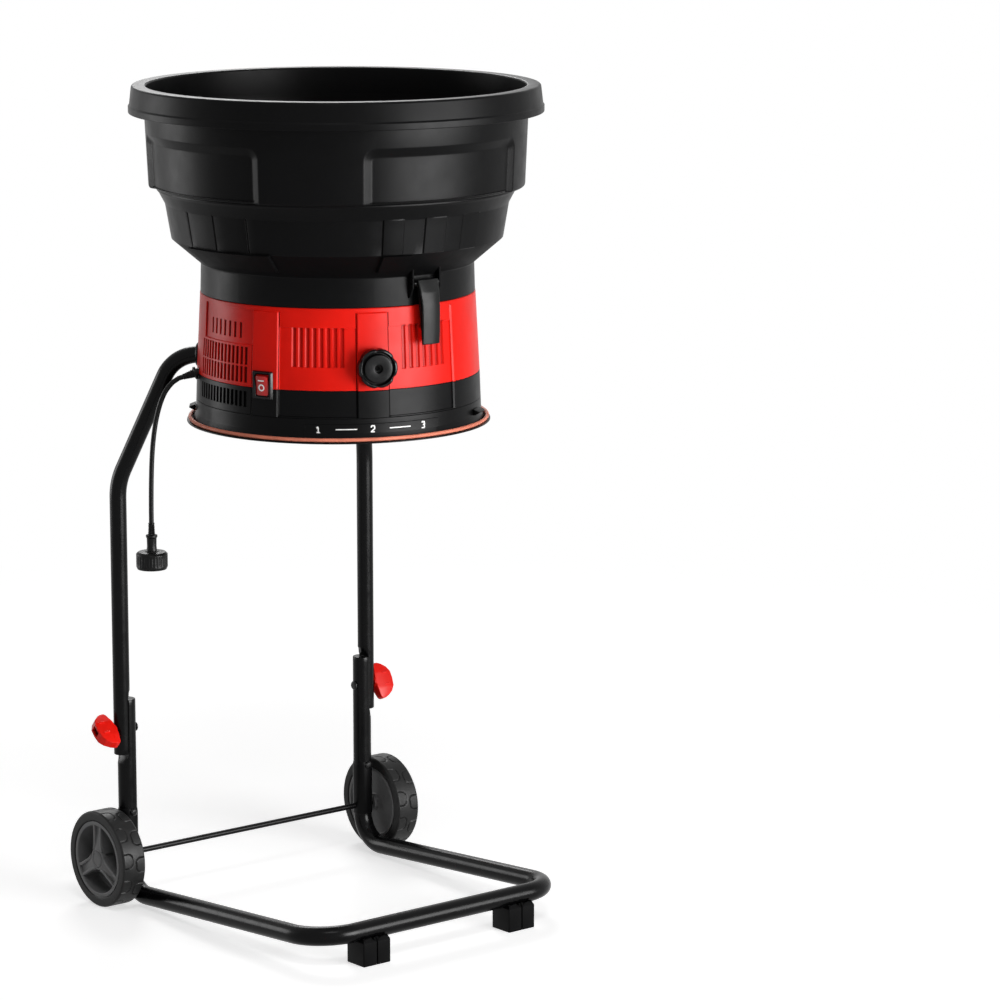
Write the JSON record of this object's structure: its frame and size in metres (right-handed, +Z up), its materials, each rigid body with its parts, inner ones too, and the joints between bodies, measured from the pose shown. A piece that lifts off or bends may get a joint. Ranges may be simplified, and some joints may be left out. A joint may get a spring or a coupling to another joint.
{
  "type": "leaf mulcher",
  "caption": "Electric leaf mulcher: wide round hopper over a motor housing with cutting lines, on a folding tube stand with wheels and feet.",
  "frame": {"origin": "on the floor under the axis of the hopper and housing", "axes": "+Z up along the motor's axis, -Y towards the front with the depth knob and feet, +X to the right seen from the front"},
  "size_m": [0.6, 0.6126, 1.2326],
  "materials": {
    "hopper_black": "fine moulded sheen",
    "housing_red": "satin gloss, moulded",
    "housing_black": "fine moulded grain",
    "band_salmon": "matt elastic",
    "knob_black": "satin",
    "switch_red": "polished",
    "tube_black": "gloss black coating",
    "wing_red": "satin gloss, moulded",
    "tyre_black": "matt, lugged tread",
    "wheel_grey": "moulded",
    "cord_black": "satin jacket",
    "steel": "zinc plated",
    "brass": "bright",
    "motor_grey": "cast",
    "line_orange": "extruded line"
  },
  "bodies": {
    "stand": {"lower_frame": "tube_black", "foot_left": "housing_black", "foot_right": "housing_black", "axle": "steel", "axle_bracket_left": "housing_black", "axle_bracket_right": "housing_black", "bracket_bolt_left": "steel", "bracket_bolt_right": "steel", "lap_bolt_left": "steel", "lap_bolt_right": "steel"},
    "machine": {"upper_leg_left": "tube_black", "upper_leg_right": "tube_black", "leg_socket_left": "housing_black", "leg_socket_right": "housing_black", "upper_housing": "housing_red", "lower_housing": "housing_black", "switch_bezel": "knob_black", "knob_stud": "steel", "cord_gland": "cord_black", "power_cord": "cord_black", "plug_sleeve": "cord_black", "plug_cap": "cord_black", "prong_left": "brass", "prong_right": "brass", "prong_ground": "brass", "motor_spider": "housing_black", "motor_pod": "motor_grey", "stator": "motor_grey", "bearing_lower": "steel", "bearing_upper": "steel"},
    "rotor": {"rotor_shaft": "steel", "armature": "steel", "cooling_fan": "housing_black", "line_head": "housing_black", "cutting_line_front": "line_orange", "cutting_line_rear": "line_orange", "head_nut": "steel"},
    "rocker": {"switch_rocker": "switch_red"},
    "depth_dial": {"depth_knob": "knob_black"},
    "bag_ring": {"adjusting_ring": "housing_black", "bag_band": "band_salmon", "bag_hook_left": "housing_black", "bag_hook_right": "housing_black"},
    "hopper": {"hopper_bowl": "hopper_black", "hopper_collar": "hopper_black", "latch_pin_front": "steel", "latch_pin_rear": "steel"},
    "latch_front": {"latch_lever_front": "hopper_black"},
    "latch_rear": {"latch_lever_rear": "hopper_black"},
    "wing_left": {"wing_knob_left": "wing_red"},
    "wing_right": {"wing_knob_right": "wing_red"},
    "wheel_left": {"tyre_left": "tyre_black", "wheel_rim_left": "wheel_grey", "hub_cap_left": "wheel_grey"},
    "wheel_right": {"tyre_right": "tyre_black", "wheel_rim_right": "wheel_grey", "hub_cap_right": "wheel_grey"}
  },
  "joints": [
    {"name": "stand_fold", "type": "hinge", "parent": "stand", "child": "machine", "pos_m": [0, 0.2384, 0.2665], "axis": [-1, 0, 0], "range_deg": [0, 90]},
    {"name": "wing_turn_left", "type": "hinge", "parent": "stand", "child": "wing_left", "pos_m": [-0.255, 0.2384, 0.2665], "axis": [-1, 0, 0], "range_deg": [0, 360]},
    {"name": "wing_turn_right", "type": "hinge", "parent": "stand", "child": "wing_right", "pos_m": [0.255, 0.2384, 0.2665], "axis": [1, 0, 0], "range_deg": [0, 360]},
    {"name": "wheel_spin_left", "type": "hinge", "parent": "stand", "child": "wheel_left", "pos_m": [-0.2587, 0.24, 0.0726], "axis": [1, 0, 0], "continuous": true},
    {"name": "wheel_spin_right", "type": "hinge", "parent": "stand", "child": "wheel_right", "pos_m": [0.2587, 0.24, 0.0726], "axis": [1, 0, 0], "continuous": true},
    {"name": "rotor_spin", "type": "hinge", "parent": "machine", "child": "rotor", "pos_m": [0, 0, 0.85], "axis": [0, 0, 1], "continuous": true},
    {"name": "rocker_tilt", "type": "hinge", "parent": "machine", "child": "rocker", "pos_m": [-0.19358, -0.07664, 0.8216], "axis": [-0.3681, 0.9298, 0], "range_deg": [0, 12]},
    {"name": "depth_turn", "type": "hinge", "parent": "machine", "child": "depth_dial", "pos_m": [-0.07993, -0.19203, 0.8505], "axis": [-0.3843, -0.9232, 0], "range_deg": [0, 360]},
    {"name": "ring_turn", "type": "hinge", "parent": "machine", "child": "bag_ring", "pos_m": [0, 0, 0.76], "axis": [0, 0, 1], "range_deg": [-21.5, 21.5]},
    {"name": "hopper_lift", "type": "slide", "parent": "machine", "child": "hopper", "axis": [0, 0, 1], "range_m": [0, 0.12]},
    {"name": "latch_swing_front", "type": "hinge", "parent": "hopper", "child": "latch_front", "pos_m": [0, -0.205, 0.9655], "axis": [-1, 0, 0], "range_deg": [0, 90]},
    {"name": "latch_swing_rear", "type": "hinge", "parent": "hopper", "child": "latch_rear", "pos_m": [0, 0.205, 0.9655], "axis": [1, 0, 0], "range_deg": [0, 90]}
  ]
}
